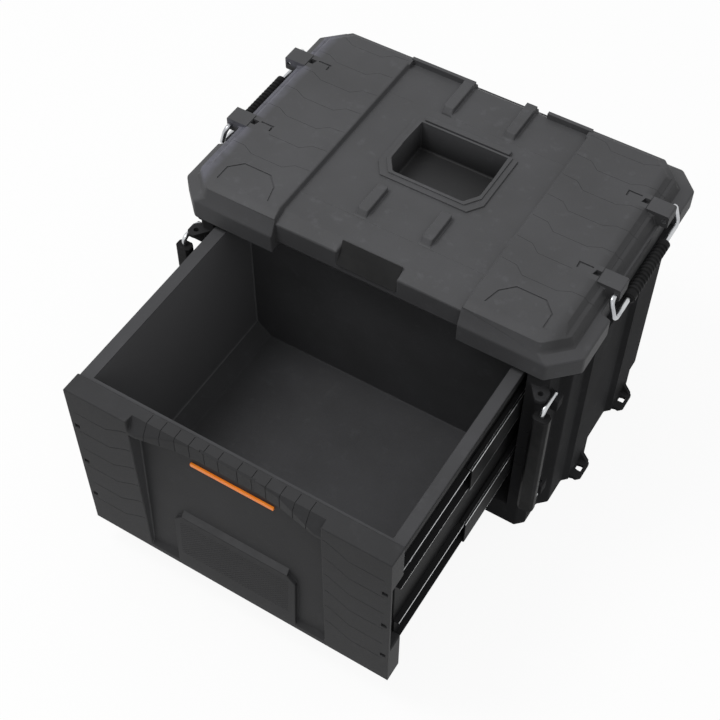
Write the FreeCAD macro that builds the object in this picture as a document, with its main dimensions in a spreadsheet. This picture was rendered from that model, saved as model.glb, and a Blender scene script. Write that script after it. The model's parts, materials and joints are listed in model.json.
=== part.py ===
import FreeCAD, Part
import os
import re
from functools import lru_cache

import Sketcher
from FreeCAD import Rotation, Vector

# Jobsite tool box with one deep drawer, in millimetres. X to the right, Y to the rear, Z up.
# The origin is on the floor, under the middle of the case.

doc = FreeCAD.newDocument("DrawerBox")
sheet = doc.addObject("Spreadsheet::Sheet", "Sizes")

sizes = {
    # overall form
    "case_width": 565, "case_depth": 376, "rim_height": 368, "skirt_drop": 27.5, "crown_rise": 29.5,
    "front_corner": 33, "rear_corner": 26.5, "cover_wall": 4,
    # levels of the cover above its rim: how far each one stands in from the rim
    "foot_rise": 9.5, "foot_side": 17.5, "foot_front": 5, "foot_rear": 14, "foot_corner": 30,
    "ledge_rise": 23, "ledge_side": 22, "ledge_front": 10, "ledge_rear": 18, "ledge_corner": 27,
    "brow_rise": 24.5, "brow_side": 28.5, "brow_front": 13, "brow_rear": 23, "brow_corner": 25,
    "crown_side": 34, "crown_front": 25, "crown_rear": 28, "crown_corner": 23,
    # lane down the middle of the cover
    "lane_half": 131, "lane_flare": 3, "lane_drop": 8.5, "lane_front": 10, "lane_ramp": 23, "ramp_drop": 5,
    "lane_under": 8, "lane_under_rise": 12.5, "rib_inner": 38, "rib_width": 15, "rib_slope": 7,
    "front_rib": 71, "front_rib_length": 56, "rear_rib": 286, "border_inner": 76, "border_width": 10,
    # open tray in the cover
    "tray_half": 64, "tray_front": 157, "tray_length": 96, "tray_corner": 20, "tray_depth": 42,
    "tray_wall": 3, "tray_rim": 12, "tray_rim_rise": 2.5, "tray_edge": 4.5, "tray_edge_rise": 1.8,
    "tray_bar_half": 62, "tray_bar_gap": 2.5, "tray_bar_width": 8, "tray_bar_rise": 5,
    # pads and key holes of the wings
    "pad_inner": 151, "pad_outer": 229, "pad_front": 27, "pad_rear": 66.5, "pad_shoulder": 50,
    "pad_corner": 16, "pad_lean": 6, "pad_line": 2.2, "pad_sink": 1.2,
    "key_hole": 8.5, "key_gap": 1, "key_depth": 8, "key_line": 2.4, "key_run": 19, "key_hook": 10.5,
    "key_hook_gap": 3, "key_hook_set": 6.3, "key_sink": 2.2,
    # badge plate
    "badge_half": 42, "badge_height": 34, "badge_lean": 28.8, "badge_thick": 1.6, "badge_foot": 6,
    # carry handles
    "front_lug": 135, "lug_pitch": 138, "lug_width": 24, "lug_reach": 6, "lug_root": 25,
    "lug_height": 20, "handle_set": 7.5, "handle_rise": 20, "handle_drop": 31, "handle_lean": 16.7,
    "leg_gap": 11.5, "handle_grip_length": 107, "handle_grip_radius": 8, "notch_depth": 12.5,
    "notch_rise": 10, "notch_margin": 9, "wire_radius": 3.25, "wire_bend": 8, "pin_clearance": 0.05,
    "pin_length": 22, "grip_clearance": 0.1,
    # case
    "bay_set": 56.5, "bay_floor": 39.5, "column_set": 6, "column_face": 16, "waist_set": 30.5,
    "waist_rear": 50, "side_set": 18.5, "case_wall": 4, "back_set": 6, "back_corner": 22,
    "pilaster_width": 52, "pilaster_step": 7, "back_rib": 60, "back_rib_pitch": 150, "back_rib_slope": 6,
    "flange_thick": 6, "flange_set": 3, "sill_wall": 6,
    "under_rib": 10, "tab_set": 4, "tab_reach": 15, "tab_width": 37, "tab_corner": 5, "tab_lift": 2,
    "tab_thick": 6, "tab_slot": 9, "tab_slot_length": 10, "tab_rim": 4.5, "gusset_width": 6,
    "gusset_reach": 12, "gusset_height": 22,
    # ears on the case columns
    "keeper_drop": 51, "keeper_thick": 6, "keeper_inner": 6, "keeper_nose": 20, "keeper_outer": 32.5,
    "keeper_reach": 18, "keeper_corner": 5, "keeper_root": 8, "keeper_hole": 3.6, "keeper_hole_x": 22.5,
    "keeper_hole_y": 7.5,
    # corner bails
    "bail_set": 22.5, "bail_y": 19, "bail_drop": 173.5, "bail_half": 111.5, "bail_reach": 34,
    "bail_lug_width": 16, "bail_lug_height": 18, "bail_lug_gap": 0.75, "bail_grip_width": 22,
    "bail_grip_depth": 16, "bail_grip_gap": 3.5, "bail_grip_corner": 4,
    # drawer, drawn out
    "drawer_travel": 300, "drawer_gap": 0.5, "front_gap": 3, "front_low": 51, "front_top_gap": 4.5,
    "front_depth": 28, "front_wall": 4, "panel_half": 132, "panel_foot": 62, "panel_low": 68,
    "panel_low_recess": 6, "panel_top_recess": 19, "lip_height": 26, "lip_slope": 12.5, "lip_fall": 20,
    "kick_half": 89, "kick_top": 167, "kick_corner": 12, "kick_lean": 5.5,
    "scoop_half": 122, "scoop_edge": 110, "scoop_edge_depth": 2.5, "scoop_mid": 73, "scoop_mid_depth": 9.6,
    "scoop_flat": 40, "scoop_depth": 12.4, "side_cut_low": 128, "side_cut_top": 275, "side_cut_depth": 18,
    "side_plate": 5, "cut_frame": 8, "catch_set": 8, "catch_size": 7, "catch_depth": 3, "catch_first": 114,
    "catch_pitch": 76,
    "slide_space": 14, "bin_wall": 7.5, "bin_low": 78, "bin_set": 4, "bin_rear_gap": 8.5,
    "bin_chamfer": 22, "bin_floor": 4, "bin_end": 5, "bin_flange": 9.5, "bin_flange_depth": 14,
    "strip_half": 58, "strip_height": 5.5, "strip_face": 15, "strip_drop": 19.5,
    # slides
    "upper_slide": 257, "lower_slide": 134.5, "rail_half": 23, "rail_gauge": 1.5, "rail_clearance": 0.3,
    "rail_start": 30, "rail_end_gap": 16, "mid_short": 10, "mid_web": 3.6, "lip_start": 2,
    "inner_lip": 8, "screw_radius": 2.5, "screw_head": 4, "head_thick": 1.6, "screw_length": 4.5,
    "hole_clearance": 0.1, "screw_margin": 30, "screw_set": 8.5,
    "cover_screw_front": 70, "cover_screw_rear": 46, "cover_screw_length": 16,
}
derived = {
    "side_half": "case_width / 2 - side_set",
    "waist_half": "case_width / 2 - waist_set",
    "bay_half": "case_width / 2 - bay_set",
    "front_half": "bay_half - front_gap",
    "bin_half": "bay_half - slide_space",
    "bin_inner": "bin_half - bin_wall",
    "handle_x": "case_width / 2 - handle_set",
    "lug_inner": "handle_x - lug_root",
    "bail_x": "case_width / 2 - bail_set",
    "bail_grip_length": "2 * (bail_half - wire_bend - bail_grip_gap)",
    "front_top": "rim_height - skirt_drop - front_top_gap",
    "panel_top": "front_top - lip_height",
    "bin_top": "front_top - bin_set",
    "bin_length": "case_depth - back_set - case_wall + drawer_gap - front_depth - bin_rear_gap",
    "rail_length": "case_depth - back_set - case_wall - rail_start - rail_end_gap",
    "mid_length": "rail_length - mid_short",
    "screw_pitch": "(rail_length - 2 * screw_margin) / 2",
    "cover_screw_x": "case_width / 2 - screw_set",
}
for row, (alias, number) in enumerate(sizes.items(), start=1):
    sheet.set(f"A{row}", alias)
    sheet.set(f"B{row}", str(number))
    sheet.setAlias(f"B{row}", alias)
doc.recompute()

sides = {"left": "-1", "right": "1"}
front = "(-case_depth / 2)"
rear = "(case_depth / 2)"
cover_low = "(rim_height - skirt_drop)"
levels = ("foot", "ledge", "brow", "crown")
crown_top = "(rim_height + crown_rise)"
lane_top = "(rim_height + crown_rise - lane_drop)"
lugs = [f"({front} + front_lug)", f"({front} + front_lug + lug_pitch)"]
handle_mid = f"({front} + front_lug + lug_pitch / 2)"
column = f"({front} + column_set)"
back_inside = f"({rear} - back_set - case_wall)"
bail_mid = "(rim_height - bail_drop)"
drawer_front_y = f"({front} - drawer_gap - drawer_travel)"
bin_start = f"({front} - drawer_gap - drawer_travel + front_depth)"
slides = {"upper": "upper_slide", "lower": "lower_slide"}
overcut = "2"
cuts = []


def bound(text):
    # An expression on the sheet's words, as the document writes it. Derived words are written out.
    return re.sub(r"\b[a-z][a-z_0-9]*\b(?!\()", bound_word, str(text))


def bound_word(found):
    word = found[0]
    return f"({bound(derived[word])})" if word in derived else f"Sizes.{word}"


@lru_cache(maxsize=None)
def worth(text):
    return float(sheet.evalExpression(bound(text)))


def new_body(label):
    body = doc.addObject("PartDesign::Body", label)
    body.Label = label
    return body


def new_sketch(body, name, role, offset):
    sketch = body.newObject("Sketcher::SketchObject", f"{body.Label}_{name}")
    plane = next(feature for feature in body.Origin.OriginFeatures if feature.Role == role)
    sketch.AttachmentSupport = (plane, "")
    sketch.MapMode = "FlatFace"
    sketch.setExpression("AttachmentOffset.Base.z", bound(offset))
    return sketch


def pin(sketch, pins):
    # Each pin is a constraint's kind, a geometry, its point and the expression that sets it.
    made = sketch.addConstraint([Sketcher.Constraint(kind, -1, 1, geometry, point, worth(text))
                                 for kind, geometry, point, text in pins])
    for index, (kind, geometry, point, text) in zip(made, pins):
        sketch.setExpression(f"Constraints[{index}]", bound(text))


def at(geometry, point, x, y):
    return [("DistanceX", geometry, point, x), ("DistanceY", geometry, point, y)]


def add_polygon(sketch, points):
    corners = [Vector(worth(x), worth(y), 0) for x, y in points]
    first = sketch.GeometryCount
    count = len(points)
    lines = [Part.LineSegment(corners[i], corners[(i + 1) % count]) for i in range(count)]
    sketch.addGeometry(lines, False)
    sketch.addConstraint([Sketcher.Constraint("Coincident", first + i, 2, first + (i + 1) % count, 1)
                          for i in range(count)])
    pin(sketch, [entry for i in range(count) for entry in at(first + i, 1, *points[i])])


def add_circle(sketch, x, y, radius):
    circle = Part.Circle(Vector(worth(x), worth(y), 0), Vector(0, 0, 1), worth(radius))
    index = sketch.addGeometry(circle, False)
    pin(sketch, at(index, 3, x, y))
    constraint = sketch.addConstraint(Sketcher.Constraint("Radius", index, worth(radius)))
    sketch.setExpression(f"Constraints[{constraint}]", bound(radius))


def polygon(body, name, role, points, offset="0"):
    sketch = new_sketch(body, name, role, offset)
    add_polygon(sketch, points)
    return sketch


def box(x0, x1, y0, y1):
    return [(x0, y0), (x1, y0), (x1, y1), (x0, y1)]


def rectangle(body, name, role, x0, x1, y0, y1, offset="0"):
    return polygon(body, name, role, box(x0, x1, y0, y1), offset)


def both(points):
    # An outline on the right and its mirror image on the left.
    return [points, [(f"-({x})", y) for x, y in points]]


def outlines(body, name, role, shapes, offset="0"):
    sketch = new_sketch(body, name, role, offset)
    for points in shapes:
        add_polygon(sketch, points)
    return sketch


def circles(body, name, role, centres, radius, offset="0"):
    sketch = new_sketch(body, name, role, offset)
    for x, y in centres:
        add_circle(sketch, x, y, radius)
    return sketch


def grow(body, sketch, length, backwards=False):
    pad = body.newObject("PartDesign::Pad", f"{sketch.Name}_pad")
    pad.Profile = sketch
    pad.setExpression("Length", bound(length))
    pad.Reversed = backwards


def carve(body, sketch, depth, backwards=False):
    pocket = body.newObject("PartDesign::Pocket", f"{sketch.Name}_cut")
    pocket.Profile = sketch
    pocket.setExpression("Length", bound(depth))
    pocket.Reversed = backwards
    cuts.append(pocket)


def bent_path(body, name, corners, bend):
    # Straight runs along the Y and Z axes in the YZ plane, joined by quarter arcs.
    sketch = new_sketch(body, name, "YZ_Plane", "0")
    places = [Vector(worth(y), worth(z), 0) for y, z in corners]
    ends = []
    for i, (y, z) in enumerate(corners):
        arc_ends = []
        for j in (i - 1, i + 1):
            if not 0 <= j < len(corners):
                continue
            step = places[j] - places[i]
            along_y = f"({y}) + {bend} * {round(step.normalize().x)}"
            along_z = f"({z}) + {bend} * {round(step.y)}"
            arc_ends.append((along_y, along_z))
        ends.append(arc_ends)
    ends[0] = [corners[0]]
    ends[-1] = [corners[-1]]
    runs = []
    for i in range(len(corners) - 1):
        start = ends[i][-1]
        stop = ends[i + 1][0]
        line = Part.LineSegment(Vector(worth(start[0]), worth(start[1]), 0),
                                Vector(worth(stop[0]), worth(stop[1]), 0))
        runs.append(sketch.addGeometry(line, False))
        pin(sketch, at(runs[-1], 1, *start) + at(runs[-1], 2, *stop))
    for i in range(1, len(corners) - 1):
        enter = Vector(worth(ends[i][0][0]), worth(ends[i][0][1]), 0)
        leave = Vector(worth(ends[i][1][0]), worth(ends[i][1][1]), 0)
        centre = enter + leave - places[i]
        middle = centre + (places[i] - centre).normalize() * worth(bend)
        arc = Part.Arc(enter, middle, leave)
        index = sketch.addGeometry(arc, False)
        turned = sketch.Geometry[index].StartPoint.distanceToPoint(enter) > 1e-6
        enter_point, leave_point = (2, 1) if turned else (1, 2)
        sketch.addConstraint(Sketcher.Constraint("Coincident", index, enter_point, runs[i - 1], 2))
        sketch.addConstraint(Sketcher.Constraint("Coincident", index, leave_point, runs[i], 1))
        centre_y = ends[i][0][0] if abs(enter.x - places[i].x) > 1e-6 else ends[i][1][0]
        pin(sketch, [("DistanceX", index, 3, centre_y)])
    return sketch


def mirrored_outline(half):
    # A closed outline from its right half, listed from the front to the rear.
    return half + [(f"-({x})", y) for x, y in reversed(half)]


def octagon(half, low, high, low_corner, high_corner):
    return mirrored_outline([
        (f"{half} - ({low_corner})", low), (half, f"{low} + {low_corner}"),
        (half, f"{high} - ({high_corner})"), (f"{half} - ({high_corner})", high),
    ])


def make_case():
    body = new_body("case_shell")
    half = [("bay_half", column), ("bay_half + column_face", column),
            ("waist_half", f"{column} + waist_half - bay_half - column_face"),
            ("waist_half", f"{front} + waist_rear"),
            ("side_half", f"{front} + waist_rear + side_half - waist_half")]
    for lug in lugs:
        near = f"{lug} - pilaster_width / 2"
        far = f"{lug} + pilaster_width / 2"
        half += [("side_half", f"{near} - pilaster_step"), ("side_half + pilaster_step", near),
                 ("side_half + pilaster_step", far), ("side_half", f"{far} + pilaster_step")]
    back = f"{rear} - back_set"
    rib_face = f"{rear} - flange_set"
    half += [("side_half", f"{back} - back_corner"), ("side_half - back_corner", back)]
    half += [("back_rib_pitch + back_rib / 2 + back_rib_slope", back),
             ("back_rib_pitch + back_rib / 2", rib_face), ("back_rib_pitch - back_rib / 2", rib_face),
             ("back_rib_pitch - back_rib / 2 - back_rib_slope", back),
             ("back_rib / 2 + back_rib_slope", back), ("back_rib / 2", rib_face)]
    grow(body, polygon(body, "wall", "XY_Plane", mirrored_outline(half)), cover_low)

    flange = octagon("case_width / 2 - flange_set", f"{front} + flange_set", f"{rear} - flange_set",
                     "front_corner", "rear_corner")
    grow(body, polygon(body, "flange", "XY_Plane", flange, f"{cover_low} - flange_thick"), "flange_thick")

    bay = rectangle(body, "bay", "XZ_Plane", "-bay_half", "bay_half", "bay_floor",
                    f"{cover_low} + {overcut}", f"case_depth / 2 + {overcut}")
    carve(body, bay, f"case_depth + {overcut} - back_set - case_wall")
    under_front = f"{column} + sill_wall"
    plinth = rectangle(body, "plinth", "XY_Plane", "-bay_half", "bay_half", under_front, back_inside)
    carve(body, plinth, "bay_floor - case_wall", backwards=True)
    across = rectangle(body, "across_rib", "XY_Plane", "-bay_half", "bay_half", "-under_rib / 2",
                       "under_rib / 2")
    grow(body, across, "bay_floor")
    along = rectangle(body, "along_rib", "XY_Plane", "-under_rib / 2", "under_rib / 2", under_front,
                      back_inside)
    grow(body, along, "bay_floor")

    hollow = [("bay_half + case_wall", f"{column} + case_wall"),
              ("bay_half + column_face - case_wall / 2", f"{column} + case_wall"),
              ("waist_half - case_wall", f"{column} + waist_half - bay_half - column_face + case_wall / 2"),
              ("waist_half - case_wall", f"{front} + waist_rear + case_wall / 2"),
              ("side_half - case_wall", f"{front} + waist_rear + side_half - waist_half + case_wall / 2"),
              ("side_half - case_wall", f"{rear} - back_set - back_corner - case_wall / 2"),
              ("side_half - back_corner - case_wall / 2", back_inside),
              ("bay_half + case_wall", back_inside)]
    hollows = outlines(body, "hollows", "XY_Plane", both(hollow), cover_low)
    carve(body, hollows, f"{cover_low} - case_wall")

    bail_y = f"({front} + bail_y)"
    reach = "bail_lug_width / 2"
    seat = "(bail_half - wire_bend - bail_lug_gap)"
    ear = box("waist_half - case_wall", f"bail_x + {reach}", f"{bail_y} - {reach}", f"{bail_y} + {reach}")
    pivots = [("bail_x", bail_y), ("-bail_x", bail_y)]
    for height, low in (("high", f"{bail_mid} + {seat} - bail_lug_height"), ("low", f"{bail_mid} - {seat}")):
        grow(body, outlines(body, f"{height}_ears", "XY_Plane", both(ear), low), "bail_lug_height")
        bores = circles(body, f"{height}_bores", "XY_Plane", pivots, "wire_radius + pin_clearance",
                        f"{low} + bail_lug_height + {overcut}")
        carve(body, bores, f"bail_lug_height + 2 * {overcut}")

    make_tabs(body)

    keeper = [("bay_half + keeper_inner", column), ("bay_half + keeper_nose", f"{column} - keeper_reach"),
              ("bay_half + keeper_outer - keeper_corner", f"{column} - keeper_reach"),
              ("bay_half + keeper_outer", f"{column} - keeper_reach + keeper_corner"),
              ("bay_half + keeper_outer", column), ("waist_half - case_wall", f"{column} + keeper_root"),
              ("bay_half + keeper_inner", f"{column} + keeper_root")]
    keeper_top = "(rim_height - keeper_drop)"
    keepers = outlines(body, "keepers", "XY_Plane", both(keeper), f"{keeper_top} - keeper_thick")
    grow(body, keepers, "keeper_thick")
    eye_x = "(bay_half + keeper_hole_x)"
    eyes = [(x, f"{column} - keeper_hole_y") for x in (eye_x, f"-{eye_x}")]
    keeper_holes = circles(body, "keeper_holes", "XY_Plane", eyes, "keeper_hole", f"{keeper_top} + {overcut}")
    carve(body, keeper_holes, f"keeper_thick + 2 * {overcut}")

    webs = [(y, z) for z in slides.values() for y in screw_rows(f"({front} + rail_start)")]
    for side, sign in sides.items():
        holes = circles(body, f"{side}_rail_holes", "YZ_Plane", webs, "screw_radius + hole_clearance",
                        f"{sign} * (bay_half - {overcut})")
        carve(body, holes, f"case_wall + 2 * {overcut}", backwards=sign == "1")
    through = circles(body, "cover_holes", "XY_Plane", cover_screw_places(),
                      "screw_radius + hole_clearance", f"{cover_low} + {overcut}")
    carve(body, through, f"flange_thick + 2 * {overcut}")
    return body


def make_tabs(body):
    # Slotted tabs at the foot of the pilasters, each with a gusset.
    face = "(side_half + pilaster_step)"
    edge = f"({face} - case_wall)"
    tip = f"({face} + tab_reach)"
    gusset = [(edge, "tab_lift"), (f"{face} + gusset_reach", "tab_lift"),
              (f"{face} + gusset_reach", "tab_lift + tab_thick"),
              (edge, "tab_lift + tab_thick + gusset_height")]
    tabs = []
    slots = []
    middles = [f"({lug} - tab_set)" for lug in lugs]
    for middle in middles:
        near = f"({middle} - tab_width / 2)"
        far = f"({middle} + tab_width / 2)"
        tabs += both([(edge, near), (f"{tip} - tab_corner", near), (tip, f"{near} + tab_corner"),
                      (tip, f"{far} - tab_corner"), (f"{tip} - tab_corner", far), (edge, far)])
        slots += both(box(f"{tip} - tab_rim - tab_slot", f"{tip} - tab_rim",
                          f"{middle} - tab_slot_length / 2", f"{middle} + tab_slot_length / 2"))
    grow(body, outlines(body, "tabs", "XY_Plane", tabs, "tab_lift"), "tab_thick")
    for row, middle in zip(("front", "rear"), middles):
        gussets = outlines(body, f"{row}_gussets", "XZ_Plane", both(gusset), f"-({middle} + tab_width / 2)")
        grow(body, gussets, "gusset_width")
    cut = outlines(body, "tab_slots", "XY_Plane", slots, f"tab_lift + tab_thick + {overcut}")
    carve(body, cut, f"tab_thick + 2 * {overcut}")


def screw_rows(start):
    return [f"{start} + screw_margin + {step} * screw_pitch" for step in range(3)]


def cover_screw_places():
    rows = (f"{front} + cover_screw_front", f"{rear} - cover_screw_rear")
    return [(x, y) for x in ("cover_screw_x", "-cover_screw_x") for y in rows]


def pad_outline():
    # The arched line round the pad at the front of a wing.
    rows = []
    for set_in in ("0", "pad_line"):
        row = [("pad_inner + {0}", "pad_front"), ("pad_inner + pad_lean + {0}", "pad_shoulder"),
               ("pad_inner + pad_lean + pad_corner + {0} / 2", "pad_rear - {0}"),
               ("pad_outer - pad_corner - {0} / 2", "pad_rear - {0}"),
               ("pad_outer - {0}", "pad_shoulder"), ("pad_outer - {0}", "pad_front")]
        rows.append([(x.format(set_in), f"{front} + {y.format(set_in)}") for x, y in row])
    return rows[0] + rows[1][::-1]


def tray_outline(set_out, length):
    # The outline of the tray, set out by a wall or a rim.
    start = f"({front} + tray_front - {set_out})"
    half = f"(tray_half + {set_out})"
    return mirrored_outline([(f"{half} - tray_corner * 0.7", start), (half, f"{start} + tray_corner"),
                             (half, f"{front} + tray_front + {length}")])


def make_cover():
    body = new_body("top_cover")
    rim = octagon("case_width / 2", front, rear, "front_corner", "rear_corner")
    grow(body, polygon(body, "skirt", "XY_Plane", rim, cover_low), "skirt_drop")
    loft = body.newObject("PartDesign::AdditiveLoft", "crown_loft")
    loft.Profile = polygon(body, "rim", "XY_Plane", rim, "rim_height")
    sections = []
    for level in levels:
        outline = octagon(f"(case_width / 2 - {level}_side)", f"({front} + {level}_front)",
                          f"({rear} - {level}_rear)", f"{level}_corner", f"{level}_corner")
        sections.append(polygon(body, level, "XY_Plane", outline, f"rim_height + {level}_rise"))
    loft.Sections = sections
    loft.Ruled = True

    lane_y = f"({front} + lane_front)"
    lane = polygon(body, "lane", "XZ_Plane",
                   [("-lane_half", lane_top), ("lane_half", lane_top),
                    ("lane_half + lane_flare", f"{crown_top} + {overcut}"),
                    ("-lane_half - lane_flare", f"{crown_top} + {overcut}")], f"case_depth / 2 + {overcut}")
    carve(body, lane, f"case_depth + 2 * {overcut}")
    lane_face = rectangle(body, "lane_face", "XY_Plane", "-lane_half", "lane_half", f"{front} - {overcut}",
                          lane_y, f"{crown_top} + {overcut}")
    carve(body, lane_face, f"skirt_drop + crown_rise + 2 * {overcut}")
    ramp = polygon(body, "ramp", "YZ_Plane",
                   [(f"{lane_y} - {overcut}", f"{lane_top} - ramp_drop"), (lane_y, f"{lane_top} - ramp_drop"),
                    (f"{lane_y} + lane_ramp", lane_top), (f"{lane_y} - {overcut}", lane_top)], "-lane_half")
    carve(body, ramp, "2 * lane_half", backwards=True)
    under = polygon(body, "lane_under", "YZ_Plane",
                    [(lane_y, f"{cover_low} + lane_under_rise"), (f"{lane_y} + lane_under", cover_low),
                     (f"{lane_y} + lane_under", f"{cover_low} - {overcut}"),
                     (f"{lane_y} - {overcut}", f"{cover_low} - {overcut}"),
                     (f"{lane_y} - {overcut}", f"{cover_low} + lane_under_rise")], "-lane_half")
    carve(body, under, "2 * lane_half", backwards=True)

    notch = box("case_width / 2 - notch_depth", f"case_width / 2 + {overcut}",
                f"{lugs[0]} - lug_width / 2 - leg_gap - notch_margin",
                f"{lugs[1]} + lug_width / 2 + leg_gap + notch_margin")
    notches = outlines(body, "notches", "XY_Plane", both(notch), f"{cover_low} - {overcut}")
    carve(body, notches, f"skirt_drop + notch_rise + {overcut}", backwards=True)

    inside = "(case_width / 2 - notch_depth - cover_wall)"
    step = "(lane_half + cover_wall)"
    lower = mirrored_outline([
        (step, f"{lane_y} + lane_under + cover_wall"), (step, f"{front} + cover_wall"),
        (f"{inside} - front_corner", f"{front} + cover_wall"),
        (inside, f"{front} + cover_wall + front_corner"), (inside, f"{rear} - cover_wall - rear_corner"),
        (f"{inside} - rear_corner", f"{rear} - cover_wall"),
    ])
    carve(body, polygon(body, "skirt_hollow", "XY_Plane", lower, cover_low), "skirt_drop", backwards=True)
    upper = octagon("(case_width / 2 - ledge_side - cover_wall)", f"({lane_y} + lane_ramp)",
                    f"({rear} - ledge_rear - cover_wall)", "ledge_corner", "ledge_corner")
    carve(body, polygon(body, "crown_hollow", "XY_Plane", upper, "rim_height"),
          "crown_rise - lane_drop - cover_wall", backwards=True)

    tub = polygon(body, "tub", "XY_Plane", tray_outline("tray_wall", "tray_length + tray_wall"),
                  f"{lane_top} - tray_depth - tray_wall")
    grow(body, tub, "tray_depth + tray_wall")
    edge_top = "(tray_rim_rise + tray_edge_rise)"
    for name, height in (("tray_rim", "tray_rim_rise"), ("tray_edge", edge_top)):
        outline = tray_outline(name, "tray_length + tray_wall")
        grow(body, polygon(body, f"{name}_rise", "XY_Plane", outline, lane_top), height)
    tray = polygon(body, "tray", "XY_Plane", tray_outline("0", "tray_length"),
                   f"{lane_top} + {edge_top} + {overcut}")
    carve(body, tray, f"tray_depth + {edge_top} + {overcut}")
    bar_front = f"({front} + tray_front + tray_length + tray_wall + tray_bar_gap)"
    bar = rectangle(body, "tray_bar", "XY_Plane", "-tray_bar_half", "tray_bar_half", bar_front,
                    f"{bar_front} + tray_bar_width", lane_top)
    grow(body, bar, "tray_bar_rise")

    rear_end = f"({rear} - crown_rear)"
    rib_runs = {"front": (f"({front} + front_rib)", f"({front} + front_rib + front_rib_length)"),
                "rear": (f"({front} + rear_rib)", rear_end)}
    for row, (near, far) in rib_runs.items():
        side_view = [(near, lane_top), (f"{near} + rib_slope", crown_top), (far, crown_top), (far, lane_top)]
        for side, start in (("left", "-rib_inner - rib_width"), ("right", "rib_inner")):
            grow(body, polygon(body, f"{side}_{row}_rib", "YZ_Plane", side_view, start), "rib_width")
    border = box("border_inner", "lane_half + lane_flare", f"{rear_end} - border_width", rear_end)
    grow(body, outlines(body, "borders", "XY_Plane", both(border), lane_top), "lane_drop")

    make_lugs(body)
    pads = outlines(body, "pads", "XY_Plane", both(pad_outline()), f"{crown_top} + {overcut}")
    carve(body, pads, f"pad_sink + {overcut}")
    holes = circles(body, "screw_holes", "XY_Plane", cover_screw_places(), "screw_radius + hole_clearance",
                    f"{cover_low} - {overcut}")
    carve(body, holes, f"cover_screw_length - flange_thick + 2 * {overcut}", backwards=True)
    return [body, make_badge(body, lane_y)]


def make_lugs(body):
    # The ears that carry the handles, with a key hole and a hooked line in the wing beside each one.
    ears = []
    keys = []
    hooks = []
    hole_out = "(lug_inner - key_gap)"
    hole_in = f"({hole_out} - key_hole)"
    run_start = f"({hole_in} - key_hook_gap)"
    run_end = f"({run_start} - key_run)"
    for lug in lugs:
        line = f"({lug} + key_hook_set)"
        ears += both(box("lug_inner", "handle_x + lug_reach", f"{lug} - lug_width / 2",
                         f"{lug} + lug_width / 2"))
        keys += both(box(hole_in, hole_out, f"{lug} - key_hole / 2", f"{lug} + key_hole / 2"))
        hooks += both([(run_start, line), (run_end, line), (run_end, f"{line} - key_hook"),
                       (f"{run_end} + key_line", f"{line} - key_hook"),
                       (f"{run_end} + key_line", f"{line} - key_line"), (run_start, f"{line} - key_line")])
    grow(body, outlines(body, "lugs", "XY_Plane", ears, f"{crown_top} - lug_height"), "lug_height")
    for row, lug in zip(("front", "rear"), lugs):
        pivots = [(x, "rim_height + handle_rise") for x in ("handle_x", "-handle_x")]
        bores = circles(body, f"{row}_pin_bores", "XZ_Plane", pivots, "wire_radius + pin_clearance",
                        f"-({lug} - lug_width / 2 - {overcut})")
        carve(body, bores, f"lug_width + 2 * {overcut}")
    above = f"{crown_top} + {overcut}"
    carve(body, outlines(body, "keys", "XY_Plane", keys, above), f"key_depth + {overcut}")
    carve(body, outlines(body, "hooks", "XY_Plane", hooks, above), f"key_sink + {overcut}")


def make_badge(body, foot_y):
    # A bare plate, leaning back in a bed at the front of the lane.
    foot_z = "(rim_height - badge_foot)"
    top_y = f"({foot_y} + badge_height * sin(badge_lean))"
    top_z = f"({foot_z} + badge_height * cos(badge_lean))"
    bed = polygon(body, "badge_bed", "YZ_Plane",
                  [(foot_y, foot_z), (top_y, top_z), (f"{foot_y} - {overcut}", top_z),
                   (f"{foot_y} - {overcut}", foot_z)], "-badge_half")
    carve(body, bed, "2 * badge_half", backwards=True)
    back = polygon(body, "badge_back", "YZ_Plane",
                   [(f"{top_y} - lane_drop * tan(badge_lean)", f"{top_z} - lane_drop"), (top_y, top_z),
                    (f"{top_y} + cover_wall", f"{top_z} - lane_drop")], "-badge_half")
    grow(body, back, "2 * badge_half")

    badge = doc.addObject("Part::Box", "badge_plate")
    badge.Label = "badge_plate"
    badge.setExpression("Length", bound("2 * badge_half"))
    badge.setExpression("Width", bound("badge_thick"))
    badge.setExpression("Height", bound("badge_height"))
    set_base(badge, "-badge_half", f"{foot_y} - badge_thick * cos(badge_lean)",
             f"{foot_z} + badge_thick * sin(badge_lean)")
    badge.Placement.Rotation = Rotation(Vector(1, 0, 0), -worth("badge_lean"))
    badge.setExpression("Placement.Rotation.Angle", bound("badge_lean"))
    badge.setExpression("Placement.Rotation.Axis.x", "-1")
    return badge


def wire_bail(label, corners, profile_role, profile_offset, start):
    body = new_body(label)
    path = bent_path(body, "path", corners, "wire_bend")
    section = circles(body, "section", profile_role, [start], "wire_radius", profile_offset)
    pipe = body.newObject("PartDesign::AdditivePipe", f"{label}_pipe")
    pipe.Profile = section
    pipe.Spine = (path, [])
    return body


def set_base(obj, x, y, z):
    for axis, text in zip("xyz", (x, y, z)):
        obj.setExpression(f"Placement.Base.{axis}", bound(text))


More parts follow.
